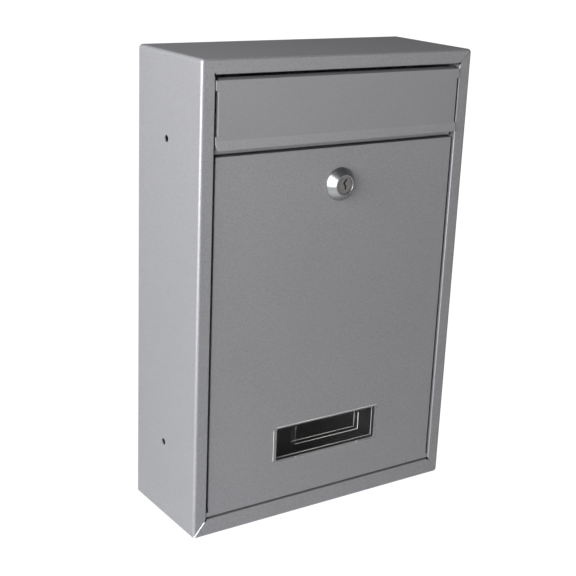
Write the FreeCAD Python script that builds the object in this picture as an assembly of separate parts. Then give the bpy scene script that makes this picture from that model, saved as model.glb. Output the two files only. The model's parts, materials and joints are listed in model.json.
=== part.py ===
import FreeCAD, Part
import math
import os

# Wall mounted mailbox of bent and painted sheet steel.
# Frame: X to the right seen from the front, Y into the wall, Z up, in millimetres.
# The origin is the centre of the wall screw pattern, on the rear face of the cabinet.

# ---- cabinet -------------------------------------------------------------------------
box_w = 214.0            # overall width
box_h = 320.0            # overall height
box_d = 81.0             # overall depth of the cabinet
sheet = 0.8              # steel sheet
fold_r = 2.5             # outer radius where the strip folds round three corners
seam_corner_r = 2.2      # outer radius of the corner where the strip's two ends meet
front_r = 2.0            # outer radius of the front edges
side_flange = 9.7        # front flanges round the opening
top_flange = 9.6
bottom_flange = 12.2
lip_depth = 12.0         # return lips of the opening, from the front plane
lip_r = 0.7              # outer radius of the bend into the lips, less than the sheet
relief_r = 1.0           # round relief at the opening's corners
mitre_w = 0.35           # mitre lines on the front flanges
mitre_deep = 0.35
seam_w = 1.5             # open mitre where the two ends of the strip meet
bead_w = 1.0             # weld bead in that mitre
bead_proud = 0.15
seam_gap = 0.2           # butt seam along the same corner, behind the mitre
lap_w = 12.0             # lap of the strip behind the seam
lap_gap = 1.0            # lap's distance from the lips and from the back panel
side_hole_r = 2.3        # holes in the side walls
side_hole_spacing = 210.0
side_hole_from_wall = 38.0

# ---- back panel ----------------------------------------------------------------------
back_fit = 0.1           # clearance of the back panel in the cabinet
back_flange = 12.0
back_corner_r = 5.0
back_bend_r = 0.7
wall_hole_r = 3.0
wall_hole_spacing_x = 140.0
wall_hole_spacing_z = 210.0

# ---- letter flap ---------------------------------------------------------------------
flap_proud = 0.5         # flap's face in front of the flanges
flap_top_gap = 3.5
flap_h = 42.9
flap_side_gap = 2.15
flap_lip_back = 4.5       # sloping lip along the flap's top edge
flap_lip_up = 1.2
strip_h = 5.5            # flared strip along the lower edge
strip_flare = 1.5
wing_h_left = 8.6        # lower part that is wider, on the left and on the right
wing_h_right = 6.2
wing_wider = 1.5
wing_corner_r = 5.0
flap_edge_r = 0.35
flap_stop_gap = 0.1      # between the side returns and the rail that they rest on

# ---- door ----------------------------------------------------------------------------
door_recess = 1.1        # door's face behind the flanges
door_side_gap = 2.1
door_bottom_gap = 1.4
flap_door_gap = 4.5      # from the flap's lower edge to the door's upper edge
door_return = 12.0
door_top_return = 10.0
door_bottom_return = 8.0
door_edge_r = 0.7
return_relief = 1.0      # open corners between the returns

# ---- hinge ears and pins -------------------------------------------------------------
pin_r = 1.2
pin_fit = 0.06           # radial clearance of a pin in its ear
lip_hole_fit = 0.02
pin_reach = 1.4          # beyond the ear
pin_head_r = 2.4
pin_head_t = 0.8
ear_gap = 0.5            # between an ear and the lip
ear_over_pin = 3.0       # ear's reach beyond the pin, away from the panel's edge
ear_set_back = 1.3       # ear's front edge behind the face, where no web joins it
ear_behind_pin = 2.9
ear_rear_r = 1.2
ear_relief = 0.15        # between an ear and the side return
door_ear_web_h = 3.1     # web from the door's face to its ears
door_pin_in = 3.0        # pin axis behind the door's face
door_pin_up = 2.8        # pin axis above the door's lower edge
flap_pin_in = 3.9
flap_pin_down = 3.2

# ---- divider rail --------------------------------------------------------------------
rail_recess = 3.5        # rail's web behind the front plane
rail_side_gap = 2.3
rail_door_gap = 1.2
rail_h = 15.0
rail_top_depth = 9.0
catch_h = 8.0            # upturned lip that the lock's cam goes behind
catch_gap = 0.6
rail_lip_gap = 0.8       # rail's wide part behind the cabinet's lips
rail_tab_h = 12.0

# ---- cam lock ------------------------------------------------------------------------
lock_off_x = 0.8         # lock's axis from the door's centre
lock_from_door_top = 24.9
bezel_r = 11.25
bezel_h = 6.0
bezel_rim = 0.8
bezel_face_r = 7.15
bezel_bulge = 0.3
barrel_r = 9.5
barrel_flat = 8.0        # half the distance over the barrel's flats
barrel_len = 16.9
thread_pitch = 1.3
thread_deep = 0.45
door_hole_fit = 0.15
plug_head_r = 6.0
plug_head_len = 2.4
plug_groove_r = 4.9       # ring groove in the plug's face
plug_groove_w = 0.35
plug_groove_deep = 0.25
plug_sunk = 0.5
plug_r = 5.2
plug_fit = 0.08
spindle = 6.6            # square end that carries the cam
spindle_fit = 0.08
spindle_tail = 0.5       # square left in front of the screw's head washer
lug_in = 6.3             # stop lug on the barrel's rear end
lug_out = 8.0
lug_half_deg = 12.0
lug_free_deg = 3.0
cam_turn_deg = 90.0
washer_t = 1.0
nut_t = 4.0
nut_flats = 24.0
nut_fit = 0.1
toothed_r = 12.4
toothed_count = 18
stop_t = 1.0
stop_r = 8.6
stop_gap = 0.15
cam_t = 1.5
cam_w = 15.0
cam_len = 38.0
cam_end_r = 3.0
cam_gap = 0.1
star_t = 0.6
star_r = 4.6
star_count = 10
screw_r = 2.0
screw_head_r = 4.0
screw_head_t = 2.6
screw_len = 9.0
keyway_w = 1.1
keyway_len = 14.0
keyway = [(1.0, 3.8), (-1.0, 1.5), (0.6, -0.8), (0.4, -2.4)]
wafer_count = 5
wafer_t = 0.9
wafer_w = 5.0
wafer_h = 8.6
wafer_fit = 0.06
wafer_pitch = 2.3
wafer_first = 2.6        # behind the plug's head
wafer_window_w = 3.0
wafer_window_h = 6.4
wafer_tab_w = 1.5
wafer_tab_t = 0.9
spring_r = 0.36
spring_wire_r = 0.07
spring_turns = 4
spring_len = 2.2

# ---- clear window insert -------------------------------------------------------------
window_off_x = 0.8       # window's centre from the door's centre
window_up = 40.9         # window's centre above the door's lower edge
window_w = 85.0          # cut-out in the door
window_h = 23.8
window_corner_r = 1.2
rim_side = 3.0           # insert's rim over the door's face
rim_end = 1.6
rim_t = 0.7
window_fit = 0.15
collar_t = 1.2
collar_len = 3.6
pane_t = 1.2
pane_sunk = 0.3          # pane's face behind the rim's face
pocket_w = 54.0          # recess for a name card
pocket_h = 12.8
pocket_deep = 4.9
pocket_t = 1.0
nub_r = 0.55             # moulded nubs on the lower rim
nub_off = 26.6
hook_len = 8.0           # snap hooks at the two ends
hook_out = 0.7
hook_t = 1.2
hook_gap = 0.1

# ---- places worked out from the sizes above ------------------------------------------
y_front = -box_d
z_bot = -box_h / 2
z_top = box_h / 2
half_w = box_w / 2
in_half_w = half_w - sheet
open_x = half_w - side_flange
open_z0 = z_bot + bottom_flange
open_z1 = z_top - top_flange
y_lip = y_front + lip_depth

flap_y = y_front - flap_proud
flap_x = open_x - flap_side_gap
flap_z1 = open_z1 - flap_top_gap
flap_z0 = flap_z1 - flap_h
flap_pin = (flap_y + flap_pin_in, flap_z1 - flap_pin_down)

door_y = y_front + door_recess
door_x = open_x - door_side_gap
door_z0 = open_z0 + door_bottom_gap
door_z1 = flap_z0 - flap_door_gap
door_pin = (door_y + door_pin_in, door_z0 + door_pin_up)
ear_x = open_x - ear_gap

lock_z = door_z1 - lock_from_door_top
barrel_y1 = door_y + barrel_len
bezel_y0 = door_y - bezel_h
plug_y0 = bezel_y0 + plug_sunk
plug_y1 = plug_y0 + plug_head_len
stop_y0 = barrel_y1 + stop_gap
cam_y0 = stop_y0 + stop_t + cam_gap
star_y0 = cam_y0 + cam_t + cam_gap
spindle_y1 = cam_y0 + cam_t - spindle_tail

rail_y = y_front + rail_recess
rail_x = open_x - rail_side_gap
rail_z0 = door_z1 + rail_door_gap
catch_y = cam_y0 - catch_gap

win_x = window_off_x
win_z = door_z0 + window_up


# ---- helpers -------------------------------------------------------------------------
def vec(x, y, z):
    return FreeCAD.Vector(x, y, z)


def block(x0, x1, y0, y1, z0, z1):
    """Box between two corners."""
    return Part.makeBox(x1 - x0, y1 - y0, z1 - z0, vec(x0, y0, z0))


def rod_x(x0, x1, r, y, z):
    """Round bar along X."""
    return Part.makeCylinder(r, abs(x1 - x0), vec(min(x0, x1), y, z), vec(1, 0, 0))


def rod_y(y0, y1, r, x, z):
    """Round bar along Y."""
    return Part.makeCylinder(r, y1 - y0, vec(x, y0, z), vec(0, 1, 0))


def plate(x0, x1, z0, z1, y0, y1, radii=(0, 0, 0, 0)):
    """Plate across Y; radii are its lower left, lower right, upper right and upper left corners."""
    corners = [(x0, z0, 1, 1), (x1, z0, -1, 1), (x1, z1, -1, -1), (x0, z1, 1, -1)]
    ends = []
    for (x, z, sx, sz), r in zip(corners, radii):
        along_x = vec(x + sx * r, y0, z)
        along_z = vec(x, y0, z + sz * r)
        middle = vec(x + sx * r * (1 - math.sqrt(0.5)), y0, z + sz * r * (1 - math.sqrt(0.5)))
        if sx == sz:
            ends.append((along_z, middle, along_x, r))
        else:
            ends.append((along_x, middle, along_z, r))
    edges = []
    for i, (start, middle, end, r) in enumerate(ends):
        if r > 0:
            edges.append(Part.Arc(start, middle, end).toShape())
        edges.append(Part.LineSegment(end, ends[(i + 1) % 4][0]).toShape())
    return Part.Face(Part.Wire(edges)).extrude(vec(0, y1 - y0, 0))


def prism(points, direction):
    """Closed outline of straight lines, pushed along a direction."""
    return Part.Face(Part.makePolygon(points + points[:1])).extrude(direction)


def ring_y(profile, x, z):
    """Outline of (radius, y) points turned about an axis along Y."""
    points = [vec(r, y, 0) for r, y in profile]
    face = Part.Face(Part.makePolygon(points + points[:1]))
    solid = face.revolve(vec(0, 0, 0), vec(0, 1, 0), 360)
    solid.translate(vec(x, 0, z))
    return solid


def sector_y(r0, r1, mid_deg, half_deg, y0, y1, x, z):
    """Part of a ring about an axis along Y; degrees count from +X towards +Z."""
    a0 = math.radians(mid_deg - half_deg)
    am = math.radians(mid_deg)
    a1 = math.radians(mid_deg + half_deg)

    def at(r, a):
        return vec(x + r * math.cos(a), y0, z + r * math.sin(a))
    edges = [
        Part.Arc(at(r1, a0), at(r1, am), at(r1, a1)).toShape(),
        Part.LineSegment(at(r1, a1), at(r0, a1)).toShape(),
        Part.Arc(at(r0, a1), at(r0, am), at(r0, a0)).toShape(),
        Part.LineSegment(at(r0, a0), at(r1, a0)).toShape(),
    ]
    return Part.Face(Part.Wire(edges)).extrude(vec(0, y1 - y0, 0))


def join(first, *others):
    return first.fuse(list(others)).removeSplitter()


def round_edges(solid, radius, chosen):
    """Round the edges for which chosen(edge's bounding box) is true."""
    edges = [e for e in solid.Edges if chosen(e.BoundBox)]
    return solid.makeFillet(radius, edges)


def flat_at(low, high, value):
    """True where a box is flat across one axis at a value."""
    return abs(low - value) < 1e-4 and abs(high - value) < 1e-4


def toothed_washer(r_hole, r_out, count, tooth_deep, y0, y1, x, z):
    """Flat ring with teeth on its rim."""
    points = []
    for i in range(count):
        for step, r in ((0.0, r_out), (0.45, r_out), (0.55, r_out - tooth_deep), (0.9, r_out - tooth_deep)):
            a = 2 * math.pi * (i + step) / count
            points.append(vec(x + r * math.cos(a), y0, z + r * math.sin(a)))
    ring = prism(points, vec(0, y1 - y0, 0))
    return ring.cut(rod_y(y0 - 1, y1 + 1, r_hole, x, z))


# ---- cabinet -------------------------------------------------------------------------
def mitre_cut(x, z, sx, sz, width, y0, y1):
    """Thin 45 degree cut from a corner of the front, sized to reach into the opening's corner."""
    reach_x = half_w - open_x
    reach_z = (open_z0 - z_bot) if sz > 0 else (z_top - open_z1)
    length = math.hypot(reach_x, reach_z)
    side_x = -sz * reach_z / length * width / 2
    side_z = sx * reach_x / length * width / 2
    tip = (x + sx * reach_x, z + sz * reach_z)
    start = (x - sx * reach_x * 0.1, z - sz * reach_z * 0.1)
    points = [
        vec(start[0] + side_x, y0, start[1] + side_z),
        vec(tip[0] + side_x, y0, tip[1] + side_z),
        vec(tip[0] - side_x, y0, tip[1] - side_z),
        vec(start[0] - side_x, y0, start[1] - side_z),
    ]
    return prism(points, vec(0, y1 - y0, 0))


def cabinet_wrapper():
    """Strip folded round the four sides, with front flanges and return lips."""
    shell_radii = (seam_corner_r, fold_r, fold_r, fold_r)
    cavity_radii = (seam_corner_r - sheet, fold_r - sheet, fold_r - sheet, fold_r - sheet)
    shell = plate(-half_w, half_w, z_bot, z_top, y_front, 0, shell_radii)
    shell = round_edges(shell, front_r, lambda b: flat_at(b.YMin, b.YMax, y_front))
    cavity = plate(-in_half_w, in_half_w, z_bot + sheet, z_top - sheet, y_front + sheet, 1, cavity_radii)
    cavity = round_edges(cavity, front_r - sheet, lambda b: flat_at(b.YMin, b.YMax, y_front + sheet))
    shell = shell.cut(cavity)
    lips = plate(-open_x - sheet, open_x + sheet, open_z0 - sheet, open_z1 + sheet,
                 y_front + sheet / 2, y_lip)
    opening = plate(-open_x, open_x, open_z0, open_z1, y_front - 1, 0)
    shell = join(shell, lips).cut(opening)

    def on_opening(b):
        inside = abs(b.XMin) < open_x + 0.01 and abs(b.XMax) < open_x + 0.01
        return flat_at(b.YMin, b.YMax, y_front) and inside
    shell = round_edges(shell, lip_r, on_opening)

    cuts = []
    for x in (-open_x, open_x):
        for z in (open_z0, open_z1):
            cuts.append(rod_y(y_front - 1, y_front + sheet, relief_r, x, z))
            cuts.append(block(x - relief_r, x + relief_r, y_front + sheet, y_lip + 1, z - relief_r, z + relief_r))
    for z, sz in ((z_top, -1), (z_bot, 1)):
        cuts.append(mitre_cut(half_w, z, -1, sz, mitre_w, y_front - 1, y_front + mitre_deep))
    cuts.append(mitre_cut(-half_w, z_bot, 1, 1, seam_w, y_front - 1, y_front + sheet))
    seam = [(-half_w - 1, z_bot - 1 + seam_gap / 2), (-in_half_w, z_bot + sheet + seam_gap / 2),
            (-in_half_w, z_bot + sheet - seam_gap / 2), (-half_w - 1, z_bot - 1 - seam_gap / 2)]
    cuts.append(prism([vec(x, y_front - 1, z) for x, z in seam], vec(0, box_d + 2, 0)))
    for x in (-half_w - 1, in_half_w - 1):
        for z in (-side_hole_spacing / 2, side_hole_spacing / 2):
            cuts.append(rod_x(x, x + sheet + 2, side_hole_r, -side_hole_from_wall, z))
    for y, z in (flap_pin, door_pin):
        for x in (-open_x - sheet - 0.5, open_x - 0.5):
            cuts.append(rod_x(x, x + sheet + 1, pin_r + lip_hole_fit, y, z))
    shell = shell.cut(cuts)
    lap = block(-in_half_w, -in_half_w + sheet, y_lip + lap_gap, -back_flange - lap_gap,
                z_bot + sheet / 2, z_bot + sheet + lap_w)
    return join(shell, lap)


def seam_bead():
    """Weld bead that fills the open mitre on the front."""
    bead = mitre_cut(-half_w, z_bot, 1, 1, bead_w, y_front - bead_proud, y_front + sheet * 0.9)
    inset = front_r * 0.35
    keep = block(-half_w + inset, -open_x - relief_r * 0.9, y_front - 1, y_front + 1,
                 z_bot + inset, open_z0 - relief_r * 0.9)
    bead = bead.common(keep)
    return round_edges(bead, bead_w * 0.2, lambda b: flat_at(b.YMin, b.YMax, y_front - bead_proud))


def back_panel():
    """Shallow pan that closes the rear, with the wall screw holes."""
    x = in_half_w - back_fit
    z = z_top - sheet - back_fit
    pan = plate(-x, x, -z, z, -back_flange, 0, (back_corner_r,) * 4)
    pan = round_edges(pan, back_bend_r, lambda b: flat_at(b.YMin, b.YMax, 0))
    hollow_r = back_corner_r - sheet
    pan = pan.cut(plate(-x + sheet, x - sheet, -z + sheet, z - sheet, -back_flange - 1, -sheet, (hollow_r,) * 4))
    for hx in (-wall_hole_spacing_x / 2, wall_hole_spacing_x / 2):
        for hz in (-wall_hole_spacing_z / 2, wall_hole_spacing_z / 2):
            pan = pan.cut(rod_y(-sheet - 1, 1, wall_hole_r, hx, hz))
    return pan


def divider_rail():
    """Channel between the letter slot and the door, with the catch for the lock's cam."""
    z1 = rail_z0 + rail_h
    y_wide = y_lip + rail_lip_gap
    pieces = [
        block(-rail_x, rail_x, rail_y, rail_y + sheet, rail_z0, z1),
        block(-rail_x, rail_x, rail_y, rail_y + rail_top_depth, z1 - sheet, z1),
        block(-rail_x, rail_x, rail_y, catch_y, rail_z0, rail_z0 + sheet),
        block(-in_half_w, in_half_w, y_wide, catch_y, rail_z0, rail_z0 + sheet),
        block(-rail_x, rail_x, catch_y - sheet, catch_y, rail_z0, rail_z0 + catch_h),
    ]
    for x in (-in_half_w, in_half_w - sheet):
        pieces.append(block(x, x + sheet, y_wide, catch_y, rail_z0, rail_z0 + rail_tab_h))
    rail = join(*pieces)

    def front_bends(b):
        low = flat_at(b.ZMin, b.ZMax, rail_z0)
        high = flat_at(b.ZMin, b.ZMax, z1)
        return flat_at(b.YMin, b.YMax, rail_y) and (low or high)
    return round_edges(rail, sheet * 0.8, front_bends)


def pivot_pins(pin):
    """Two short pins riveted through the cabinet's lips."""
    y, z = pin
    pins = []
    for side in (-1, 1):
        inner = side * (ear_x - sheet - pin_reach)
        outer = side * (open_x + sheet)
        shank = rod_x(inner, outer, pin_r, y, z)
        head = rod_x(outer, outer + side * pin_head_t, pin_head_r, y, z)
        pins.append(join(shank, head))
    return Part.makeCompound(pins)


# ---- flap and door -------------------------------------------------------------------
def hinge_ears(face_x, face_y, pin, ear_z, web_z):
    """Ears turned back beside a panel's edges, with their pin holes and a web to the panel's face."""
    y, z = pin
    rear = y + ear_behind_pin
    ears = []
    for side in (-1, 1):
        root = side * (face_x - return_relief)
        outer = side * ear_x
        inner = side * (ear_x - sheet)
        x0 = min(inner, outer)
        x1 = max(inner, outer)
        web = block(min(root, outer), max(root, outer), face_y, face_y + sheet, web_z[0], web_z[1])
        bend = block(x0, x1, face_y, rear, web_z[0], web_z[1])
        ear = join(web, bend)
        ear = round_edges(ear, sheet * 0.85,
                          lambda b: flat_at(b.YMin, b.YMax, face_y) and flat_at(b.XMin, b.XMax, outer))
        ear = join(ear, block(x0, x1, face_y + ear_set_back, rear, ear_z[0], ear_z[1]))
        ear = round_edges(ear, ear_rear_r, lambda b: flat_at(b.YMin, b.YMax, rear) and b.ZMax - b.ZMin < 1e-4)
        ears.append(ear.cut(rod_x(x0 - 0.5, x1 + 0.5, pin_r + pin_fit, y, z)))
    return ears


def sloping_lip(half_length):
    """Lip that runs back and up from the flap's top edge."""
    length = math.hypot(flap_lip_back, flap_lip_up)
    in_y = flap_lip_up / length * sheet
    in_z = -flap_lip_back / length * sheet
    start = (flap_y, flap_z1)
    end = (flap_y + flap_lip_back, flap_z1 + flap_lip_up)
    section = [start, end, (end[0] + in_y, end[1] + in_z), (start[0] + in_y, start[1] + in_z)]
    return prism([vec(-half_length, y, z) for y, z in section], vec(2 * half_length, 0, 0))


def letter_flap():
    """Flap over the letter slot, with wings, a flared lower strip and a sloping top lip."""
    strip_z1 = flap_z0 + strip_h
    wing_h = max(wing_h_left, wing_h_right)
    wing_x = flap_x + wing_wider
    back_y = flap_y + sheet
    low = [(flap_y, flap_z0 + wing_h), (flap_y, strip_z1), (flap_y - strip_flare, flap_z0),
           (back_y - strip_flare, flap_z0), (back_y, strip_z1), (back_y, flap_z0 + wing_h)]
    wings = prism([vec(-wing_x, y, z) for y, z in low], vec(2 * wing_x, 0, 0))
    wings = round_edges(wings, flap_edge_r, lambda b: flat_at(b.ZMin, b.ZMax, flap_z0)
                        and flat_at(b.YMin, b.YMax, flap_y - strip_flare))
    corner_r = min(wing_corner_r, min(wing_h_left, wing_h_right) * 0.9)
    wings = wings.common(plate(-wing_x, wing_x, flap_z0, flap_z0 + wing_h, flap_y - 5, back_y + 5,
                               (corner_r, corner_r, 0, 0)))
    panel = join(block(-flap_x, flap_x, flap_y, back_y, flap_z0 + wing_h, flap_z1), wings)
    ear_z0 = flap_pin[1] - ear_over_pin
    returns = [sloping_lip(flap_x - return_relief)]
    for side, height in ((-1, wing_h_left), (1, wing_h_right)):
        panel = panel.cut(block(min(side * flap_x, side * (wing_x + 1)), max(side * flap_x, side * (wing_x + 1)),
                                flap_y - 1, back_y + 1, flap_z0 + height, flap_z1))
        x0 = min(side * flap_x, side * (flap_x - sheet))
        returns.append(block(x0, x0 + sheet, flap_y + sheet / 2, rail_y - flap_stop_gap,
                             flap_z0 + height + ear_relief, ear_z0 - ear_relief))
    ear_z = (ear_z0, flap_z1)
    flap = join(panel, *(returns + hinge_ears(flap_x, flap_y, flap_pin, ear_z, ear_z)))

    def side_bends(b):
        outer = flat_at(b.XMin, b.XMax, flap_x) or flat_at(b.XMin, b.XMax, -flap_x)
        return outer and flat_at(b.YMin, b.YMax, flap_y) and b.ZMax - b.ZMin > flap_h / 2
    return round_edges(flap, flap_edge_r, side_bends)


def double_d(y0, y1, r, flat, x, z):
    """Round bar with two flats, upright ones."""
    return rod_y(y0, y1, r, x, z).common(block(x - flat, x + flat, y0, y1, z - r - 1, z + r + 1))


def door_panel():
    """Door pan with its hinge ears, lock hole and window cut-out."""
    face = plate(-door_x, door_x, door_z0, door_z1, door_y, door_y + sheet)
    face = round_edges(face, door_edge_r, lambda b: flat_at(b.YMin, b.YMax, door_y))
    ear_z1 = door_pin[1] + ear_over_pin
    inset = door_x - return_relief
    returns = [
        block(-inset, inset, door_y + sheet / 2, door_y + door_top_return, door_z1 - sheet, door_z1),
        block(-inset, inset, door_y + sheet / 2, door_y + door_bottom_return, door_z0, door_z0 + sheet),
    ]
    for x in (-door_x, door_x - sheet):
        returns.append(block(x, x + sheet, door_y + sheet / 2, door_y + door_return,
                             ear_z1 + ear_relief, door_z1 - return_relief))
    ears = hinge_ears(door_x, door_y, door_pin, (door_z0, ear_z1), (door_z0, door_z0 + door_ear_web_h))
    door = join(face, *(returns + ears))
    y0 = door_y - 1
    y1 = door_y + sheet + 1
    door = door.cut(double_d(y0, y1, barrel_r + door_hole_fit, barrel_flat + door_hole_fit, lock_off_x, lock_z))
    x = window_w / 2
    z = window_h / 2
    return door.cut(plate(win_x - x, win_x + x, win_z - z, win_z + z, y0, y1, (window_corner_r,) * 4))


def window_insert():
    """Clear insert: rim over the door, pane, name card pocket and snap hooks."""
    x = window_w / 2 - window_fit
    z = window_h / 2 - window_fit
    rim_x = window_w / 2 + rim_side
    rim_z = window_h / 2 + rim_end
    rim_y = door_y - rim_t
    rim = plate(win_x - rim_x, win_x + rim_x, win_z - rim_z, win_z + rim_z, rim_y, door_y,
                (window_corner_r + 0.8,) * 4)
    rim = round_edges(rim, rim_t * 0.5, lambda b: flat_at(b.YMin, b.YMax, rim_y))
    collar = plate(win_x - x, win_x + x, win_z - z, win_z + z, door_y - rim_t / 2, door_y + collar_len,
                   (window_corner_r,) * 4)
    body = join(rim, collar)
    hollow_x = x - collar_t
    hollow_z = z - collar_t
    front = plate(win_x - hollow_x, win_x + hollow_x, win_z - hollow_z, win_z + hollow_z,
                  rim_y - 1, rim_y + pane_sunk, (window_corner_r * 0.5,) * 4)
    rear = plate(win_x - hollow_x, win_x + hollow_x, win_z - hollow_z, win_z + hollow_z,
                 rim_y + pane_sunk + pane_t, door_y + collar_len + 1, (window_corner_r * 0.5,) * 4)
    body = body.cut([front, rear])

    floor_y = rim_y + pocket_deep
    px = pocket_w / 2
    pz1 = win_z + hollow_z
    pz0 = pz1 - pocket_h
    cup = block(win_x - px - pocket_t, win_x + px + pocket_t, rim_y + pane_sunk, floor_y + pocket_t,
                pz0 - pocket_t, win_z + z)
    body = join(body, cup)
    body = body.cut(block(win_x - px, win_x + px, rim_y - 1, floor_y, pz0, pz1))

    extras = []
    for side in (-1, 1):
        extras.append(rod_y(rim_y - nub_r * 0.5, door_y, nub_r, win_x + side * nub_off, win_z - window_h / 2 - 0.2))
        root = win_x + side * (x - collar_t)
        tip = win_x + side * (window_w / 2 + hook_out)
        y0 = door_y + sheet + hook_gap
        hook = [vec(root, y0, win_z - hook_len / 2), vec(tip, y0, win_z - hook_len / 2),
                vec(win_x + side * x, y0 + hook_t, win_z - hook_len / 2),
                vec(root, y0 + hook_t, win_z - hook_len / 2)]
        extras.append(prism(hook, vec(0, 0, hook_len)))
    return join(body, *extras)


# ---- lock, on the door ---------------------------------------------------------------
# The lock's pieces are made on x = 0 and moved sideways to the lock's axis at the end.
def lock_body():
    """Bezel and threaded barrel with two flats, bored for the plug."""
    bore_r = plug_r + plug_fit
    seat_r = plug_head_r + plug_fit
    rim_y = door_y - bezel_rim
    profile = [(bore_r, barrel_y1), (bore_r, plug_y1 + plug_fit), (seat_r, plug_y1 + plug_fit),
               (seat_r, bezel_y0), (bezel_face_r - 0.25, bezel_y0), (bezel_face_r, bezel_y0 + 0.15)]
    steps = 8
    for i in range(1, steps):
        t = i / steps
        r = bezel_face_r + (bezel_r - bezel_face_r) * t
        y = bezel_y0 + 0.15 + (rim_y - bezel_y0 - 0.15) * t
        bulge = bezel_bulge * math.sin(math.pi * t)
        profile.append((r + bulge * 0.75, y - bulge * 0.65))
    profile += [(bezel_r, rim_y), (bezel_r, door_y), (barrel_r, door_y)]
    y = door_y + sheet + washer_t
    while y + thread_pitch < barrel_y1 - 0.5:
        profile += [(barrel_r, y), (barrel_r - thread_deep, y + thread_pitch / 2)]
        y += thread_pitch
    profile += [(barrel_r, y), (barrel_r, barrel_y1 - 0.4), (barrel_r - 0.4, barrel_y1)]
    body = ring_y(profile, 0, lock_z)
    for side in (-1, 1):
        edge = side * barrel_flat
        far = side * (barrel_r + 2)
        body = body.cut(block(min(edge, far), max(edge, far), door_y, barrel_y1 + 1,
                              lock_z - barrel_r - 1, lock_z + barrel_r + 1))
    lug = sector_y(lug_in, lug_out, 90, lug_half_deg, barrel_y1 - 0.5, stop_y0 + stop_t * 0.8, 0, lock_z)
    return join(body, lug)


def lock_washer():
    """Toothed washer behind the door."""
    y0 = door_y + sheet
    return toothed_washer(barrel_r + nut_fit, toothed_r, toothed_count, 0.9, y0, y0 + washer_t, 0, lock_z)


def lock_nut():
    """Hexagon nut on the barrel."""
    y0 = door_y + sheet + washer_t
    r = nut_flats / 2 / math.cos(math.pi / 6)
    points = [vec(r * math.cos(math.pi / 3 * i), y0, lock_z + r * math.sin(math.pi / 3 * i)) for i in range(6)]
    nut = prism(points, vec(0, nut_t, 0))
    edge = 1.0
    crown = ring_y([(0, y0), (r - edge, y0), (r, y0 + edge * 0.6), (r, y0 + nut_t - edge * 0.6),
                    (r - edge, y0 + nut_t), (0, y0 + nut_t)], 0, lock_z)
    return nut.common(crown).cut(rod_y(y0 - 1, y0 + nut_t + 1, barrel_r + nut_fit, 0, lock_z))


# ---- lock, turning with the plug -----------------------------------------------------
def wafer_planes():
    """Where each wafer starts along Y."""
    first = plug_y1 + wafer_first
    return [first + i * wafer_pitch for i in range(wafer_count)]


def keyway_cut(y0, y1):
    """Slot for the key, following a bent line."""
    pieces = []
    for x, z in keyway:
        pieces.append(rod_y(y0, y1, keyway_w / 2, x, lock_z + z))
    for (xa, za), (xb, zb) in zip(keyway, keyway[1:]):
        length = math.hypot(xb - xa, zb - za)
        nx = -(zb - za) / length * keyway_w / 2
        nz = (xb - xa) / length * keyway_w / 2
        corners = [(xa + nx, za + nz), (xb + nx, zb + nz), (xb - nx, zb - nz), (xa - nx, za - nz)]
        pieces.append(prism([vec(x, y0, lock_z + z) for x, z in corners], vec(0, y1 - y0, 0)))
    return pieces[0].fuse(pieces[1:])


def square_hole(size, y0, y1):
    return block(-size / 2, size / 2, y0, y1, lock_z - size / 2, lock_z + size / 2)


def lock_plug():
    """Plug that the key turns, with wafer slots and a square tail."""
    head = rod_y(plug_y0, plug_y1, plug_head_r, 0, lock_z)
    head = round_edges(head, 0.3, lambda b: flat_at(b.YMin, b.YMax, plug_y0))
    body = rod_y(plug_y1 - 0.5, stop_y0, plug_r, 0, lock_z)
    tail = square_hole(spindle, stop_y0 - 0.5, spindle_y1)
    plug = join(head, body, tail)
    groove_r = plug_groove_r + plug_groove_w
    plug = plug.cut(ring_y([(plug_groove_r, plug_y0 - 1), (groove_r, plug_y0 - 1),
                            (groove_r, plug_y0 + plug_groove_deep), (plug_groove_r, plug_y0 + plug_groove_deep)],
                           0, lock_z))
    plug = plug.cut(keyway_cut(plug_y0 - 1, plug_y0 + keyway_len))
    tab_x = wafer_w / 2 + wafer_tab_w
    for y in wafer_planes():
        y1 = y + wafer_t + wafer_fit
        plug = plug.cut(block(-wafer_w / 2 - wafer_fit, wafer_w / 2 + wafer_fit, y - wafer_fit, y1,
                              lock_z - plug_r - 1, lock_z + plug_r + 1))
        plug = plug.cut(block(0, tab_x + wafer_fit, y - wafer_fit, y1,
                              lock_z - spring_len / 2 - wafer_fit, lock_z + spring_len / 2 + wafer_tab_t + 0.3))
    return plug.cut(rod_y(spindle_y1 - screw_len, spindle_y1 + 1, screw_r + 0.03, 0, lock_z))


def lock_wafers():
    """Flat wafers in the plug's slots, each with a window for the key and a side tab."""
    wafers = []
    base = lock_z + spring_len / 2 + 0.05
    for y in wafer_planes():
        wafer = block(-wafer_w / 2, wafer_w / 2, y, y + wafer_t, lock_z - wafer_h / 2, lock_z + wafer_h / 2)
        tab = block(0, wafer_w / 2 + wafer_tab_w, y, y + wafer_t, base, base + wafer_tab_t)
        window = block(-wafer_window_w / 2, wafer_window_w / 2, y - 1, y + wafer_t + 1,
                       lock_z - wafer_window_h / 2, lock_z + wafer_window_h / 2)
        wafers.append(join(wafer, tab).cut(window))
    return Part.makeCompound(wafers)


def wafer_springs():
    """One small coil spring under each wafer's tab."""
    springs = []
    height = spring_len - 2 * spring_wire_r
    for y in wafer_planes():
        path = Part.makeHelix(height / spring_turns, height, spring_r)
        ring = Part.Wire(Part.makeCircle(spring_wire_r, vec(spring_r, 0, 0), vec(0, 1, 0)))
        coil = Part.Wire(path.Edges).makePipeShell([ring], True, True)
        coil.translate(vec(wafer_w / 2 + wafer_tab_w / 2 + 0.1, y + wafer_t / 2, lock_z - height / 2))
        springs.append(coil)
    return Part.makeCompound(springs)


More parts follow.
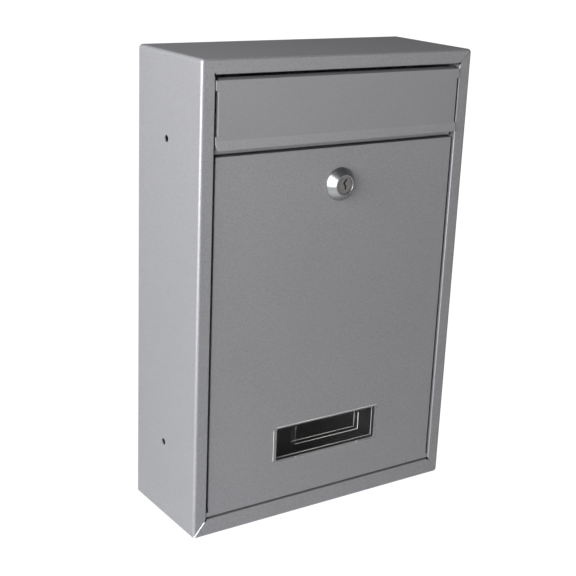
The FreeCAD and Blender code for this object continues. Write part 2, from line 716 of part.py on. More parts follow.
def stop_washer():
    """Washer on the square tail whose notch meets the barrel's lug at both ends of the turn."""
    washer = rod_y(stop_y0, stop_y0 + stop_t, stop_r, 0, lock_z)
    washer = washer.cut(square_hole(spindle + 2 * spindle_fit, stop_y0 - 1, stop_y0 + stop_t + 1))
    half = (cam_turn_deg + 2 * lug_half_deg) / 2 + lug_free_deg
    notch = sector_y(lug_in - 0.4, stop_r + 1, 90 + cam_turn_deg / 2, half,
                     stop_y0 - 1, stop_y0 + stop_t + 1, 0, lock_z)
    return washer.cut(notch)


def lock_cam():
    """Flat cam, pointing sideways while the lock is open."""
    w = cam_w / 2
    reach = -cam_len
    tip_r = min(cam_end_r, w * 0.9)
    bar = plate(reach, 0, lock_z - w, lock_z + w, cam_y0, cam_y0 + cam_t, (tip_r, 0, 0, tip_r))
    cam = join(bar, rod_y(cam_y0, cam_y0 + cam_t, w, 0, lock_z))
    return cam.cut(square_hole(spindle + 2 * spindle_fit, cam_y0 - 1, cam_y0 + cam_t + 1))


def cam_star_washer():
    return toothed_washer(screw_r + 0.15, star_r, star_count, 0.6, star_y0, star_y0 + star_t, 0, lock_z)


def cam_screw():
    """Pan head screw with a cross recess that holds the cam."""
    y0 = star_y0 + star_t
    y1 = y0 + screw_head_t
    shank = rod_y(spindle_y1 - screw_len + 0.5, y0 + 0.5, screw_r, 0, lock_z)
    head = rod_y(y0, y1, screw_head_r, 0, lock_z)
    head = round_edges(head, screw_head_t * 0.45, lambda b: flat_at(b.YMin, b.YMax, y1))
    screw = join(shank, head)
    arm = screw_head_r * 0.6
    deep = screw_head_t * 0.6
    slot = 0.45
    cross = join(block(-arm, arm, y1 - deep, y1 + 1, lock_z - slot, lock_z + slot),
                 block(-slot, slot, y1 - deep, y1 + 1, lock_z - arm, lock_z + arm))
    return screw.cut(cross)


# ---- write one file for each sub-part ------------------------------------------------
parts = {
    "cabinet_wrapper": cabinet_wrapper(),
    "seam_bead": seam_bead(),
    "back_panel": back_panel(),
    "divider_rail": divider_rail(),
    "flap_pivot_pins": pivot_pins(flap_pin),
    "door_pivot_pins": pivot_pins(door_pin),
    "letter_flap": letter_flap(),
    "door_panel": door_panel(),
    "window_insert": window_insert(),
    "lock_body": lock_body(),
    "lock_washer": lock_washer(),
    "lock_nut": lock_nut(),
    "lock_plug": lock_plug(),
    "lock_wafers": lock_wafers(),
    "wafer_springs": wafer_springs(),
    "stop_washer": stop_washer(),
    "lock_cam": lock_cam(),
    "cam_star_washer": cam_star_washer(),
    "cam_screw": cam_screw(),
}

for name in ("lock_body", "lock_washer", "lock_nut", "lock_plug", "lock_wafers", "wafer_springs",
             "stop_washer", "lock_cam", "cam_star_washer", "cam_screw"):
    parts[name].translate(vec(lock_off_x, 0, 0))

os.makedirs("parts", exist_ok=True)
for name, shape in parts.items():
    shape.exportStep("parts/" + name + ".step")
    print(name, "valid", shape.isValid(), "solids", len(shape.Solids), "volume", round(shape.Volume, 1))
print("flap pin", flap_pin, "door pin", door_pin, "lock z", lock_z, "window", (win_x, win_z))
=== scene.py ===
import json
import math

import bmesh
import bpy
from mathutils import Matrix, Vector


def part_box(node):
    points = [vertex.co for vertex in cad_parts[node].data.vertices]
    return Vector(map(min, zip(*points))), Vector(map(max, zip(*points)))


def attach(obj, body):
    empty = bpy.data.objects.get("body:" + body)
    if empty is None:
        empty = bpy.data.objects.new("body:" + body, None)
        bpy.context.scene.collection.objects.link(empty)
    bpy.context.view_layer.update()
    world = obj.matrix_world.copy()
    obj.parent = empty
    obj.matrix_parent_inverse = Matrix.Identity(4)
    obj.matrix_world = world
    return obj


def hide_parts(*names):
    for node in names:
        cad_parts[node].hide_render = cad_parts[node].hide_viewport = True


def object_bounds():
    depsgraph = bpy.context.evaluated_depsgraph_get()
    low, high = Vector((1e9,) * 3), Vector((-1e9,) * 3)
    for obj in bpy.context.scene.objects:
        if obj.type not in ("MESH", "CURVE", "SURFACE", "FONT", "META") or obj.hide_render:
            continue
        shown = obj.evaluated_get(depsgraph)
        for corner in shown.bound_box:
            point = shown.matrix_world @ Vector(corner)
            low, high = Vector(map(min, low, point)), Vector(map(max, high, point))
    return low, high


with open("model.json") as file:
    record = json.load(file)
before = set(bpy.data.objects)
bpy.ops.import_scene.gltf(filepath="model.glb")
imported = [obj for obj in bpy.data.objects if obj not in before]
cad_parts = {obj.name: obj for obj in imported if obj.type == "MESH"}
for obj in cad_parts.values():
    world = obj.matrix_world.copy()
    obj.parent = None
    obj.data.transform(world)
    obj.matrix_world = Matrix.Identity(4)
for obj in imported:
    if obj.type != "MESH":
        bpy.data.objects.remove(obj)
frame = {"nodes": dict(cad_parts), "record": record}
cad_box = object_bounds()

MM = 0.001

NODES = frame["nodes"]


# ---- shader helper -------------------------------------------------------------------
class Value:
    """A shader socket that takes part in sums as a number does."""

    def __init__(self, paint, socket):
        self.paint = paint
        self.socket = socket

    def _math(self, operation, *inputs):
        return self.paint.node("ShaderNodeMath", {"operation": operation}, dict(enumerate(inputs)))

    def __add__(self, other):
        return self._math("ADD", self, other)

    def __mul__(self, other):
        return self._math("MULTIPLY", self, other)

    __radd__ = __add__
    __rmul__ = __mul__


class Paint:
    """A material made of nodes, with one method that adds any node."""

    def __init__(self, name):
        self.material = bpy.data.materials.new(name)
        self.material.use_nodes = True
        self.tree = self.material.node_tree
        self.tree.nodes.clear()
        self.out = self.tree.nodes.new("ShaderNodeOutputMaterial")

    def node(self, kind, settings=None, inputs=None, output=0):
        made = self.tree.nodes.new(kind)
        for name, value in (settings or {}).items():
            setattr(made, name, value)
        for name, value in (inputs or {}).items():
            if isinstance(value, Value):
                self.tree.links.new(value.socket, made.inputs[name])
            else:
                made.inputs[name].default_value = value
        return Value(self, made.outputs[output])

    def place(self):
        """Object coordinates, in metres in the frame."""
        return self.node("ShaderNodeTexCoord", output="Object")

    def noise(self, scale, detail=2.0, rough=0.5):
        """Noise with so many cycles to the metre."""
        return self.node("ShaderNodeTexNoise", {},
                         {"Vector": self.place(), "Scale": scale, "Detail": detail, "Roughness": rough})

    def ramp(self, value, low, high):
        """0 below low and 1 above high, straight between."""
        return self.node("ShaderNodeMapRange", {"clamp": True},
                         {"Value": value, "From Min": low, "From Max": high})

    def mix(self, factor, first, second):
        """Colour between two colours."""
        return self.node("ShaderNodeMix", {"data_type": "RGBA"}, {0: factor, 6: first, 7: second}, output=2)

    def bump(self, height, distance):
        return self.node("ShaderNodeBump", {}, {"Height": height, "Distance": distance})

    def finish(self, **sockets):
        """The surface shader, its sockets named with underscores for spaces."""
        inputs = {name.replace("_", " "): value for name, value in sockets.items()}
        shader = self.node("ShaderNodeBsdfPrincipled", {}, inputs)
        self.tree.links.new(shader.socket, self.out.inputs["Surface"])
        return self.material


def grey(value, tint=(1.0, 1.0, 1.0)):
    return (value * tint[0], value * tint[1], value * tint[2], 1.0)


# ---- finishes ------------------------------------------------------------------------
def silver_paint():
    """Silver powder coat: fine metal flakes, a faint mottle and orange peel."""
    paint = Paint("silver_powder_coat")
    flakes = paint.ramp(paint.noise(2600.0, 1.0, 0.6), 0.30, 0.72)
    mottle = paint.ramp(paint.noise(22.0, 3.0, 0.55), 0.25, 0.75)
    shade = paint.mix(flakes, grey(0.235, (1.0, 0.985, 1.02)), grey(0.395, (1.0, 0.98, 1.01)))
    shade = paint.mix(mottle * 0.12, shade, grey(0.40, (1.03, 1.0, 1.0)))
    peel = paint.noise(900.0, 2.0, 0.5)
    return paint.finish(Base_Color=shade, Metallic=0.55, Roughness=0.42 + 0.10 * flakes,
                        Normal=paint.bump(peel, 0.00004), Coat_Weight=0.15, Coat_Roughness=0.35)


def pale_bead_painted_highlight():
    """Weld bead, pale and a little rippled: the rippled weld metal is real, the near-white colour is a
    painted highlight along the mitre.
    """
    paint = Paint("pale_bead_painted_highlight")
    ripple = paint.noise(1400.0, 2.0, 0.5)
    # Painted highlight: the near-white colour stands in for the glint on the mitre's edge.
    shade = paint.mix(ripple, grey(0.80), grey(0.92))
    return paint.finish(Base_Color=shade, Metallic=0.2, Roughness=0.3, Normal=paint.bump(ripple, 0.00005))


def chrome():
    """Plated bezel, with haze that softens what it mirrors."""
    paint = Paint("polished_chrome")
    haze = paint.noise(420.0, 3.0, 0.6)
    shade = paint.mix(haze, grey(0.30, (0.98, 1.0, 1.02)), grey(0.42, (1.0, 1.0, 1.0)))
    return paint.finish(Base_Color=shade, Metallic=1.0, Roughness=0.30 + 0.12 * haze)


def plug_metal():
    """Warm grey nickel with a fine grain."""
    paint = Paint("nickel_plug")
    grain = paint.noise(2400.0, 2.0, 0.6)
    shade = paint.mix(grain, grey(0.22, (1.0, 0.97, 0.93)), grey(0.38, (1.0, 0.97, 0.93)))
    return paint.finish(Base_Color=shade, Metallic=1.0, Roughness=0.34 + 0.14 * grain,
                        Normal=paint.bump(grain, 0.00003))


def zinc():
    """Bright zinc plating, clouded between blue and straw."""
    paint = Paint("bright_zinc")
    cloud = paint.noise(160.0, 4.0, 0.6)
    shade = paint.mix(cloud, grey(0.45, (0.97, 1.0, 1.03)), grey(0.62, (1.03, 1.01, 0.96)))
    return paint.finish(Base_Color=shade, Metallic=1.0, Roughness=0.28 + 0.15 * cloud)


def brass():
    """Stamped brass of the wafers."""
    paint = Paint("stamped_brass")
    grain = paint.noise(900.0, 2.0, 0.5)
    shade = paint.mix(grain, (0.48, 0.34, 0.13, 1.0), (0.62, 0.46, 0.20, 1.0))
    return paint.finish(Base_Color=shade, Metallic=1.0, Roughness=0.30 + 0.1 * grain)


def clear_plastic():
    """Clear moulding: nearly unseen face on, with faint swirls, its colour kept dark as painted shade of
    the cabinet's inside.
    """
    paint = Paint("clear_plastic")
    swirl = paint.noise(130.0, 2.0, 0.5)
    # Painted shade: the dark base colour keeps the window as dark as the shaded inside behind it.
    shade = paint.mix(swirl, grey(0.10, (1.03, 1.0, 0.95)), grey(0.16, (1.03, 1.0, 0.95)))
    return paint.finish(Base_Color=shade, Roughness=0.10 + 0.06 * swirl, IOR=1.40, Alpha=0.03,
                        Normal=paint.bump(swirl, 0.00006))


def lit_plastic_edge():
    """Edges of the clear moulding, painted pale and made to glow a little: a painted highlight and painted
    glow where the edges catch the light.
    """
    paint = Paint("lit_plastic_edge")
    glint = paint.ramp(paint.noise(60.0, 2.0, 0.5), 0.30, 0.75)
    shade = paint.mix(glint, grey(0.50, (1.04, 1.0, 0.94)), grey(0.85, (1.04, 1.0, 0.94)))
    # Painted highlight: the pale colour and the weak emission stand in for light that the edges catch.
    return paint.finish(Base_Color=shade, Roughness=0.22, Alpha=0.75,
                        Emission_Color=shade, Emission_Strength=0.14)


ZINC = zinc()
FINISHES = {
    "painted_sheet": silver_paint(),
    "weld_bead": pale_bead_painted_highlight(),
    "pin_steel": ZINC,
    "clear_plastic": clear_plastic(),
    "lit_plastic_edge": lit_plastic_edge(),
    "lock_chrome": chrome(),
    "plug_metal": plug_metal(),
    "wafer_brass": brass(),
    "zinc_steel": ZINC,
}


def coat(piece, *names):
    """Give a piece its finishes, in the order of its material slots."""
    piece.data.materials.clear()
    for name in names:
        piece.data.materials.append(FINISHES[name])


SLOT_OF = {row["node"]: row["material_slot"] for row in frame["record"]["subparts"]}
for name, node in NODES.items():
    for place in node.material_slots:
        place.material = FINISHES[SLOT_OF[name]]


# ---- bench: modelling with operators, in millimetres ---------------------------------
NEAR = 0.02              # how far off a place an element may lie
DEGENERATE = 0.000001    # metres, under which an edge is taken away

def corners(node):
    """A node's lowest and highest corners, in millimetres."""
    low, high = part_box(node)
    return low / MM, high / MM


def empty_bench():
    """Leave edit mode and select nothing."""
    if bpy.context.object and bpy.context.object.mode == "EDIT":
        bpy.ops.object.mode_set(mode="OBJECT")
    bpy.ops.object.select_all(action="DESELECT")


def open_piece(name):
    """Name the primitive just added, settle its place in its mesh and open it in edit mode."""
    piece = bpy.context.object
    piece.name = name
    piece.data.name = name
    bpy.ops.object.transform_apply(location=True, rotation=True, scale=True)
    bpy.ops.object.mode_set(mode="EDIT")
    return piece


def start_block(name, low, high):
    """Block between two corners."""
    empty_bench()
    low = Vector(low) * MM
    high = Vector(high) * MM
    bpy.ops.mesh.primitive_cube_add(size=1.0, location=(low + high) / 2)
    bpy.context.object.scale = high - low
    return open_piece(name)


def start_skin(name, x0, x1, z0, z1, y):
    """Flat skin that faces the front."""
    empty_bench()
    middle = Vector(((x0 + x1) / 2, y, (z0 + z1) / 2)) * MM
    bpy.ops.mesh.primitive_plane_add(size=1.0, location=middle, rotation=(math.pi / 2, 0, 0))
    bpy.context.object.scale = ((x1 - x0) * MM, (z1 - z0) * MM, 1)
    return open_piece(name)


def start_ring(name, radius, y, x, z, sides=96):
    """Open ring about an axis along Y."""
    empty_bench()
    bpy.ops.mesh.primitive_circle_add(vertices=sides, radius=radius * MM, location=Vector((x, y, z)) * MM,
                                      rotation=(math.pi / 2, 0, 0))
    return open_piece(name)


def pick(piece, kind, x=None, y=None, z=None):
    """Select the VERT, EDGE or FACE elements that lie wholly at a place or between two."""
    mesh = bmesh.from_edit_mesh(piece.data)
    bpy.context.tool_settings.mesh_select_mode = (kind == "VERT", kind == "EDGE", kind == "FACE")
    for group in (mesh.faces, mesh.edges, mesh.verts):
        for element in group:
            element.select = False

    def inside(point):
        for value, wanted in zip(point, (x, y, z)):
            low, high = wanted if isinstance(wanted, tuple) else (wanted, wanted)
            if wanted is not None and not low - NEAR <= value / MM <= high + NEAR:
                return False
        return True

    found = 0
    for element in {"VERT": mesh.verts, "EDGE": mesh.edges, "FACE": mesh.faces}[kind]:
        points = [element.co] if kind == "VERT" else [v.co for v in element.verts]
        if all(inside(p) for p in points):
            element.select_set(True)
            found += 1
    bmesh.update_edit_mesh(piece.data)
    if not found:
        raise ValueError(piece.name + ": nothing to pick at " + str((kind, x, y, z)))


def cut_at(axis, *values):
    """Cut lines all through the piece in edit mode, across X (0), Y (1) or Z (2)."""
    normal = Vector((0, 0, 0))
    normal[axis] = 1
    for value in values:
        bpy.ops.mesh.select_all(action="SELECT")
        bpy.ops.mesh.bisect(plane_co=normal * value * MM, plane_no=normal)


def pull(x=0.0, y=0.0, z=0.0):
    """Extrude what is selected."""
    bpy.ops.mesh.extrude_region_move(TRANSFORM_OT_translate={"value": Vector((x, y, z)) * MM})


def shift(x=0.0, y=0.0, z=0.0):
    """Move what is selected."""
    bpy.ops.transform.translate(value=Vector((x, y, z)) * MM)


def widen(ratio, x, y, z):
    """Scale what is selected about an axis along Y."""
    bpy.ops.transform.resize(value=(ratio, 1, ratio), center_override=Vector((x, y, z)) * MM)


def apply_modifier(piece, kind, name, **settings):
    """Add a modifier and apply it."""
    if piece.mode == "EDIT":
        bpy.ops.object.mode_set(mode="OBJECT")
    modifier = piece.modifiers.new(name, kind)
    for key, value in settings.items():
        setattr(modifier, key, value)
    bpy.ops.object.modifier_apply(modifier=modifier.name)


def thicken(piece, thickness):
    """Give a skin its thickness, behind its outer face."""
    apply_modifier(piece, "SOLIDIFY", "sheet", thickness=thickness * MM, offset=-1.0, use_even_offset=True)


def soften(piece, width, segments=3, angle=32.0, smooth=40.0):
    """Round the edges sharper than an angle and shade the rest smooth."""
    apply_modifier(piece, "BEVEL", "edges", width=width * MM, segments=segments, limit_method="ANGLE",
            angle_limit=math.radians(angle), miter_outer="MITER_ARC", harden_normals=False)
    bpy.ops.object.mode_set(mode="EDIT")
    bpy.ops.mesh.select_all(action="SELECT")
    bpy.ops.mesh.dissolve_degenerate(threshold=DEGENERATE)
    bpy.ops.object.mode_set(mode="OBJECT")
    bpy.ops.object.shade_smooth_by_angle(angle=math.radians(smooth))
    apply_modifier(piece, "WEIGHTED_NORMAL", "flat faces", keep_sharp=True)


def combine(piece, other, operation):
    """Cut another piece's shape out (DIFFERENCE) or add it (UNION), and use the other up."""
    empty_bench()
    piece.select_set(True)
    bpy.context.view_layer.objects.active = piece
    apply_modifier(piece, "BOOLEAN", "shape", object=other, operation=operation, solver="EXACT")
    bpy.data.objects.remove(other)


def start_rod(place, radius, length, along_x, sides):
    """Round rod along X or Y."""
    empty_bench()
    turn = (0, math.pi / 2, 0) if along_x else (math.pi / 2, 0, 0)
    bpy.ops.mesh.primitive_cylinder_add(vertices=sides, radius=radius * MM, depth=length * MM,
                                        location=Vector(place) * MM, rotation=turn)
    return bpy.context.object


def pin_holes(piece, ear_x, pins):
    """Bore both ears for the pins of a hinge."""
    low, high = corners(pins)
    middle = (low + high) / 2
    for side in (-1, 1):
        rod = start_rod((side * ear_x, middle.y, middle.z), PIN_HOLE_R, PIN_HOLE_LEN, True, 40)
        combine(piece, rod, "DIFFERENCE")


def hand_over(piece, body, node):
    """Let a finished piece stand for a node of the frame."""
    empty_bench()
    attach(piece, body)
    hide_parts(node)


# ---- pieces of bent sheet ------------------------------------------------------------
SHEET = 0.8
RELIEF = 1.0             # corner notch beside a bent lip
EAR_SLIT = 0.15
PIN_HOLE_R = 1.26
PIN_HOLE_LEN = 4.0


def ears(piece, panel_x, ear_x, face_y, z, depth):
    """Pull a panel's side edges out to its ears and turn them back."""
    for side in (-1, 1):
        pick(piece, "EDGE", x=side * panel_x, y=face_y, z=z)
        pull(x=side * (ear_x - panel_x))
        pick(piece, "EDGE", x=side * ear_x, y=face_y, z=z)
        pull(y=depth)


def flap_sheet():
    """Letter flap: wings, flared lower strip, sloping top lip, side returns and ears."""
    low, high = corners("letter_flap")
    pin_low, pin_high = corners("flap_pivot_pins")
    pin_in, strip_h, wing_wider, wing_round = 3.9, 5.5, 1.5, 5.0
    wing_h = {-1: 8.6, 1: 6.2}
    lip_back, lip_up = 4.5, 1.2
    return_depth, ear_h, ear_reach = 3.9, 6.2, 1.65
    face_y = (pin_low.y + pin_high.y) / 2 - pin_in
    flare = face_y - low.y
    ear_x = high.x
    flap_x = ear_x - ear_reach
    z0 = low.z
    z1 = high.z - lip_up
    piece = start_skin("flap_sheet", -flap_x, flap_x, z0, z1, face_y)
    cut_at(2, z0 + strip_h, z1 - ear_h, z1 - ear_h - EAR_SLIT)
    for height in wing_h.values():
        cut_at(2, z0 + height, z0 + height + EAR_SLIT)
    cut_at(0, -flap_x + RELIEF, flap_x - RELIEF)
    for side in (-1, 1):
        pick(piece, "EDGE", x=side * flap_x, z=(z0, z0 + wing_h[side]))
        pull(x=side * wing_wider)
    pick(piece, "EDGE", z=z1, x=(-flap_x + RELIEF, flap_x - RELIEF))
    pull(y=lip_back, z=lip_up)
    for side in (-1, 1):
        return_z = (z0 + wing_h[side] + EAR_SLIT, z1 - ear_h - EAR_SLIT)
        pick(piece, "EDGE", x=side * flap_x, y=face_y, z=return_z)
        pull(y=return_depth)
    ears(piece, flap_x, ear_x, face_y, (z1 - ear_h, z1), high.y - face_y)
    pick(piece, "VERT", z=z0)
    shift(y=-flare)
    for side in (-1, 1):
        pick(piece, "VERT", z=z0, x=side * (flap_x + wing_wider))
        bpy.ops.mesh.bevel(offset=wing_round * MM, segments=10, affect="VERTICES")
    thicken(piece, SHEET)
    pin_holes(piece, ear_x, "flap_pivot_pins")
    soften(piece, 0.3, angle=24.0, smooth=38.0)
    coat(piece, "painted_sheet")
    hand_over(piece, "flap", "letter_flap")


def lock_hole(x, y, z):
    """Cutter for the lock's round hole with two flats."""
    radius, flat, half_depth, over = 9.65, 8.15, 3.0, 2.0
    hole = start_rod((x, y, z), radius, 2 * half_depth, False, 64)
    for side in (-1, 1):
        near, far = sorted((x + side * flat, x + side * (radius + over)))
        block = start_block("flat", (near, y - half_depth - 1, z - radius - over),
                            (far, y + half_depth + 1, z + radius + over))
        combine(hole, block, "DIFFERENCE")
    return hole


def door_sheet():
    """Door: returns on four sides, ears, the lock's hole and the window's cut-out."""
    low, high = corners("door_panel")
    lock_low, lock_high = corners("lock_body")
    glass_low, glass_high = corners("window_insert")
    pin_low, pin_high = corners("door_pivot_pins")
    ear_reach, ear_behind_pin, ear_set_back, ear_h, web_h = 1.6, 2.9, 1.3, 5.8, 3.1
    face_y = low.y
    ear_x = high.x
    door_x = ear_x - ear_reach
    z0 = low.z
    z1 = high.z
    side_depth, top_depth, foot_depth = 12.0, 10.0, 8.0
    slit_z = z0 + ear_h + EAR_SLIT
    rim_side, rim_end, glass_round = 3.0, 1.6, 1.2
    hole_x = (glass_low.x + rim_side, glass_high.x - rim_side)
    hole_z = (glass_low.z + rim_end, glass_high.z - rim_end)
    piece = start_skin("door_sheet", -door_x, door_x, z0, z1, face_y)
    cut_at(2, z0 + web_h, slit_z, z1 - RELIEF, *hole_z)
    cut_at(0, -door_x + RELIEF, door_x - RELIEF, *hole_x)
    pick(piece, "FACE", x=hole_x, z=hole_z)
    bpy.ops.mesh.delete(type="FACE")
    for x in hole_x:
        for z in hole_z:
            pick(piece, "VERT", x=x, z=z)
            bpy.ops.mesh.bevel(offset=glass_round * MM, segments=5, affect="VERTICES")
    pick(piece, "EDGE", z=z1, x=(-door_x + RELIEF, door_x - RELIEF))
    pull(y=top_depth)
    pick(piece, "EDGE", z=z0, y=face_y, x=(-door_x + RELIEF, door_x - RELIEF))
    pull(y=foot_depth)
    for side in (-1, 1):
        pick(piece, "EDGE", x=side * door_x, y=face_y, z=(slit_z, z1 - RELIEF))
        pull(y=side_depth)
    rear_y = (pin_low.y + pin_high.y) / 2 + ear_behind_pin
    ears(piece, door_x, ear_x, face_y, (z0, z0 + web_h), rear_y - face_y)
    cut_at(1, face_y + ear_set_back)
    for side in (-1, 1):
        pick(piece, "EDGE", x=side * ear_x, y=(face_y + ear_set_back, rear_y), z=z0 + web_h)
        pull(z=ear_h - web_h)
    thicken(piece, SHEET)
    middle = (lock_low + lock_high) / 2
    combine(piece, lock_hole(middle.x, face_y, middle.z), "DIFFERENCE")
    pin_holes(piece, ear_x, "door_pivot_pins")
    soften(piece, 0.45, angle=60.0, smooth=38.0)
    coat(piece, "painted_sheet")
    hand_over(piece, "door", "door_panel")


# ---- window --------------------------------------------------------------------------
def window_glazing():
    """Clear insert: rim, pane, collar and name card pocket, with edges given a painted highlight where they
    catch the light.
    """
    low, high = corners("window_insert")
    rim_side, rim_end, rim_t, fit, collar_t, collar_len = 3.0, 1.6, 0.7, 0.15, 1.2, 3.6
    nub_off, nub_proud, nub_r, nub_short, nub_below = 26.6, 0.275, 0.55, 0.1, 0.2
    pane_back, sunk, rim_round = 1.5, 0.3, 2.0
    pocket_half_w, pocket_h, pocket_t, pocket_deep = 27.0, 12.4, 1.0, 4.9
    pocket_from_top, cup_from_top = 0.4, 0.2
    hook_gap, hook_t, hook_half_len, hook_root, hook_out = 0.1, 1.2, 4.0, 0.03, 0.8
    x0, x1, z0, z1 = low.x, high.x, low.z, high.z
    front = low.y + nub_proud
    back = front + rim_t
    middle = (x0 + x1) / 2
    plug_x = (x0 + rim_side + fit, x1 - rim_side - fit)
    plug_z = (z0 + rim_end + fit, z1 - rim_end - fit)
    room_x = (plug_x[0] + collar_t, plug_x[1] - collar_t)
    room_z = (plug_z[0] + collar_t, plug_z[1] - collar_t)
    cup_x = (middle - pocket_half_w - pocket_t, middle + pocket_half_w + pocket_t)
    pocket_x = (middle - pocket_half_w, middle + pocket_half_w)
    pocket_z = (room_z[1] - pocket_from_top - pocket_h, room_z[1] - pocket_from_top)
    cup_z = (pocket_z[0] - pocket_t, room_z[1] - cup_from_top)
    hook_y = (back + SHEET + hook_gap, back + SHEET + hook_gap + hook_t)
    hook_z = ((z0 + z1) / 2 - hook_half_len, (z0 + z1) / 2 + hook_half_len)
    piece = start_block("window_glazing", (x0, front, z0), (x1, back, z1))
    for x in (x0, x1):
        for z in (z0, z1):
            pick(piece, "EDGE", x=x, z=z)
            bpy.ops.mesh.bevel(offset=rim_round * MM, segments=5, affect="EDGES")
    cut_at(0, *plug_x, *room_x, *cup_x, *pocket_x)
    cut_at(2, *plug_z, *room_z, *cup_z, *pocket_z, *hook_z)
    pick(piece, "FACE", x=plug_x, y=back, z=plug_z)
    pull(y=collar_len)
    pick(piece, "FACE", x=room_x, y=back + collar_len, z=room_z)
    pull(y=pane_back + front - back - collar_len)
    pick(piece, "FACE", x=cup_x, y=front + pane_back, z=cup_z)
    pull(y=pocket_deep + pocket_t - pane_back)
    pick(piece, "FACE", x=room_x, y=front, z=room_z)
    pull(y=sunk)
    pick(piece, "FACE", x=pocket_x, y=front + sunk, z=pocket_z)
    pull(y=pocket_deep - sunk)
    cut_at(1, *hook_y)
    for side, x in zip((-1, 1), plug_x):
        pick(piece, "FACE", x=x, y=hook_y, z=hook_z)
        pull(x=side * hook_root)
        pick(piece, "EDGE", x=x + side * hook_root, y=hook_y[0], z=hook_z)
        shift(x=side * hook_out)

    def lit(width, **place):
        """Bevel edges and give the new faces the second finish, the painted highlight."""
        pick(piece, "EDGE", **place)
        bpy.ops.mesh.bevel(offset=width * MM, segments=2, affect="EDGES", material=1)

    coat(piece, "clear_plastic", "lit_plastic_edge")
    beyond = 0.5         # ends that the bevels before have moved
    lit(0.28, x=pocket_x, y=front + sunk, z=pocket_z[0])
    for x in pocket_x:
        lit(0.28, x=x, y=front + sunk, z=(pocket_z[0] - beyond, pocket_z[1] + beyond))
    lit(0.22, x=pocket_x, y=front + pocket_deep, z=pocket_z[0])
    lit(0.22, x=pocket_x[1], y=front + pocket_deep, z=(pocket_z[0] - beyond, pocket_z[1]))
    for x in (x0, x1):
        lit(0.26, x=x, y=front)
    for z in (z0, z1):
        lit(0.26, y=front, z=z)
    lit(0.3, x=plug_x[1], y=back + collar_len)
    lit(0.3, z=plug_z[0], y=back + collar_len)
    bpy.ops.object.mode_set(mode="OBJECT")
    nub_len = back - low.y - nub_short
    # The nubs take the same painted highlight finish, for the glints on the bottom rim.
    for side in (-1, 1):
        place = (middle + side * nub_off, low.y + nub_len / 2, z0 + rim_end - nub_below)
        nub = start_rod(place, nub_r, nub_len, False, 20)
        nub.data.materials.append(FINISHES["lit_plastic_edge"])
        combine(piece, nub, "UNION")
    bpy.ops.object.shade_smooth_by_angle(angle=math.radians(35.0))
    hand_over(piece, "door", "window_insert")


# ---- lock ----------------------------------------------------------------------------
def lock_bezel():
    """Turned chrome bezel on a threaded barrel with two flats."""
    low, high = corners("lock_body")
    middle = (low + high) / 2
    rim_r = (high.x - low.x) / 2
    face_r, seat_r, bore_r, barrel_r, flat = 7.15, 6.08, 5.28, 9.5, 8.0
    bezel_h, rim_t, bulge, seat_deep, barrel_len = 6.0, 0.8, 0.22, 2.98, 16.9
    lip, chamfer, pitch, deep, plain, thread_end = 0.12, 0.4, 1.3, 0.45, 3.5, 0.9
    lug_half_w, lug_in, lug_out, lug_root, over = 1.5, 6.4, 7.9, 0.5, 2.0
    door_y = low.y + bezel_h
    end_y = door_y + barrel_len
    profile = [(rim_r, door_y)]
    for t in (0.0, 0.12, 0.25, 0.4, 0.55, 0.7, 0.85, 0.96):
        radius = rim_r - (rim_r - face_r) * t + bulge * math.sin(math.pi * t)
        profile.append((radius, door_y - rim_t - (bezel_h - rim_t) * t))
    profile += [(face_r - lip, low.y), (seat_r + lip, low.y), (seat_r, low.y + lip)]
    profile += [(seat_r, low.y + seat_deep), (bore_r, low.y + seat_deep), (bore_r, end_y)]
    profile += [(barrel_r - chamfer, end_y), (barrel_r, end_y - chamfer)]
    threads = int((barrel_len - plain) / pitch)
    for i in range(threads):
        y = end_y - thread_end - i * pitch
        profile += [(barrel_r, y), (barrel_r - deep, y - pitch / 2)]
    profile += [(barrel_r, end_y - thread_end - threads * pitch), (barrel_r, door_y)]
    piece = start_ring("lock_bezel", rim_r, door_y, middle.x, middle.z)
    radius, y = profile[0]
    for next_radius, next_y in profile[1:]:
        pull(y=next_y - y)
        widen(next_radius / radius, middle.x, next_y, middle.z)
        radius, y = next_radius, next_y
    pull()
    widen(rim_r / radius, middle.x, y, middle.z)
    bpy.ops.mesh.select_all(action="SELECT")
    bpy.ops.mesh.remove_doubles(threshold=0.00001)
    bpy.ops.mesh.normals_make_consistent(inside=False)
    for side in (-1, 1):
        near, far = sorted((middle.x + side * flat, middle.x + side * (barrel_r + over)))
        block = start_block("flat", (near, door_y, middle.z - barrel_r - over),
                            (far, end_y + 1, middle.z + barrel_r + over))
        combine(piece, block, "DIFFERENCE")
    lug = start_block("lug", (middle.x - lug_half_w, end_y - lug_root, middle.z + lug_in),
                      (middle.x + lug_half_w, high.y, middle.z + lug_out))
    combine(piece, lug, "UNION")
    soften(piece, 0.1, segments=2, angle=34.0, smooth=30.0)
    coat(piece, "lock_chrome")
    hand_over(piece, "door", "lock_body")


flap_sheet()
door_sheet()
window_glazing()
lock_bezel()


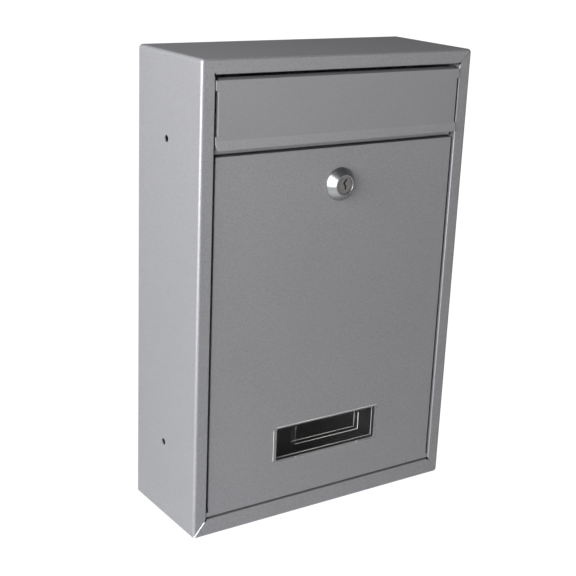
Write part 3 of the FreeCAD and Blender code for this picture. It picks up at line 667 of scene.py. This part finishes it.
# ---- studio --------------------------------------------------------------------------
def studio():
    """Pale floor, a white room that lights little, and soft lights from the left and the front."""
    world = bpy.data.worlds.new("white_room")
    bpy.context.scene.world = world
    world.use_nodes = True
    tree = world.node_tree
    tree.nodes.clear()
    out = tree.nodes.new("ShaderNodeOutputWorld")
    seen = tree.nodes.new("ShaderNodeBackground")
    seen.inputs["Color"].default_value = (1, 1, 1, 1)
    seen.inputs["Strength"].default_value = 1.05
    fill = tree.nodes.new("ShaderNodeBackground")
    fill.inputs["Color"].default_value = (0.96, 0.98, 1.0, 1)
    fill.inputs["Strength"].default_value = 0.12
    path = tree.nodes.new("ShaderNodeLightPath")
    both = tree.nodes.new("ShaderNodeMixShader")
    tree.links.new(path.outputs["Is Camera Ray"], both.inputs[0])
    tree.links.new(fill.outputs[0], both.inputs[1])
    tree.links.new(seen.outputs[0], both.inputs[2])
    tree.links.new(both.outputs[0], out.inputs["Surface"])

    drop = 0.5
    bpy.ops.mesh.primitive_plane_add(size=12.0, location=(0, 0, cad_box[0][2] - drop))
    floor = bpy.context.object
    floor.name = "pale_floor"
    paint = Paint("pale_floor")
    dust = paint.noise(3.0, 2.0, 0.5)
    white = paint.node("ShaderNodeEmission", {}, {"Color": grey(1.0), "Strength": 1.05})
    matt = paint.node("ShaderNodeBsdfDiffuse", {}, {"Color": paint.mix(dust, grey(0.84), grey(0.88))})
    is_seen = paint.node("ShaderNodeLightPath", output="Is Camera Ray")
    shader = paint.node("ShaderNodeMixShader", {}, {0: is_seen, 1: matt, 2: white})
    paint.tree.links.new(shader.socket, paint.out.inputs["Surface"])
    floor.data.materials.append(paint.material)

    def soft_box(name, place, size, power, colour=(1, 1, 1)):
        """Square light turned to the middle of the box."""
        data = bpy.data.lights.new(name, "AREA")
        data.shape = "SQUARE"
        data.size = size
        data.energy = power
        data.color = colour
        lamp = bpy.data.objects.new(name, data)
        lamp.location = place
        lamp.rotation_euler = (Vector((0, -0.04, 0)) - Vector(place)).to_track_quat("-Z", "Y").to_euler()
        bpy.context.scene.collection.objects.link(lamp)

    soft_box("side_light", (-1.0, -0.45, 0.30), 0.8, 26.0, (0.94, 0.97, 1.0))
    soft_box("top_light", (-0.75, 0.0, 0.5), 0.4, 5.2)
    soft_box("front_light", (1.0, -2.1, 0.35), 1.3, 6.9, (1.0, 0.98, 0.97))


def camera():
    """Camera in front, to the left and a little above."""
    place = Vector((-469.1, -707.8, 247.9)) * MM
    yaw = math.radians(34.500)
    pitch = math.radians(17.508)
    roll = math.radians(2.405)
    ahead = Vector((math.sin(yaw) * math.cos(pitch), math.cos(yaw) * math.cos(pitch), -math.sin(pitch)))
    level = Vector((math.cos(yaw), -math.sin(yaw), 0))
    upward = level.cross(ahead)
    right = level * math.cos(roll) + upward * math.sin(roll)
    top = upward * math.cos(roll) - level * math.sin(roll)
    turn = Matrix((right, top, -ahead)).transposed().to_4x4()
    data = bpy.data.cameras.new("camera")
    data.lens = 75.4
    data.sensor_width = 36.0
    data.clip_start = 0.01
    view = bpy.data.objects.new("camera", data)
    view.matrix_world = Matrix.Translation(place) @ turn
    bpy.context.scene.collection.objects.link(view)
    bpy.context.scene.camera = view


studio()
camera()
bpy.context.scene.view_settings.view_transform = "Standard"
